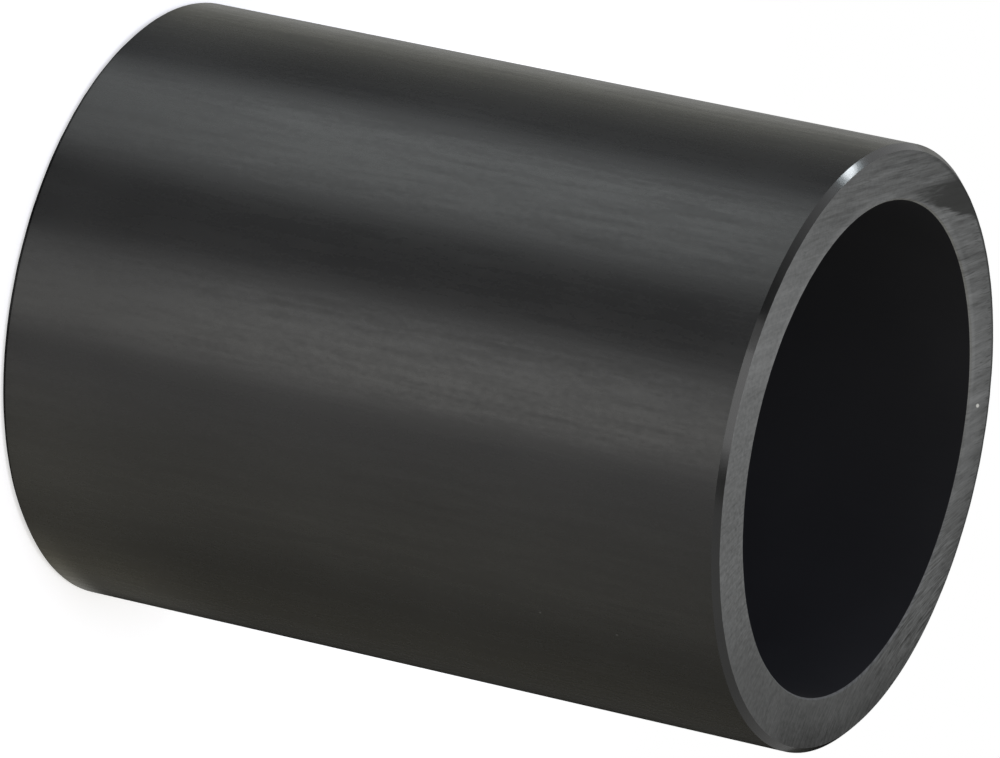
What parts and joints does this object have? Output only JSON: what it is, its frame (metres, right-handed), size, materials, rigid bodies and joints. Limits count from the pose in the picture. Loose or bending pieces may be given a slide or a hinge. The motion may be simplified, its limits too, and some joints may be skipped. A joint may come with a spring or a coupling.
{
  "type": "pipe nipple",
  "caption": "Short plain-ended plastic tube that joins pipe sockets end to end, with bevelled outer edges and a smooth through bore.",
  "frame": {"origin": "centre of the lower end face, on the axis of the tube", "axes": "+Z along the axis of the tube, from the lower end face to the upper one, as the tube stands on its end; X and Y are any two directions square to it"},
  "size_m": [0.05, 0.05, 0.0655],
  "materials": {
    "rigid_pvc": "dark grey rigid PVC, satin as extruded on the barrel, with lighter matt sawn end faces"
  },
  "bodies": {
    "root": {"nipple": "rigid_pvc"}
  },
  "joints": []
}
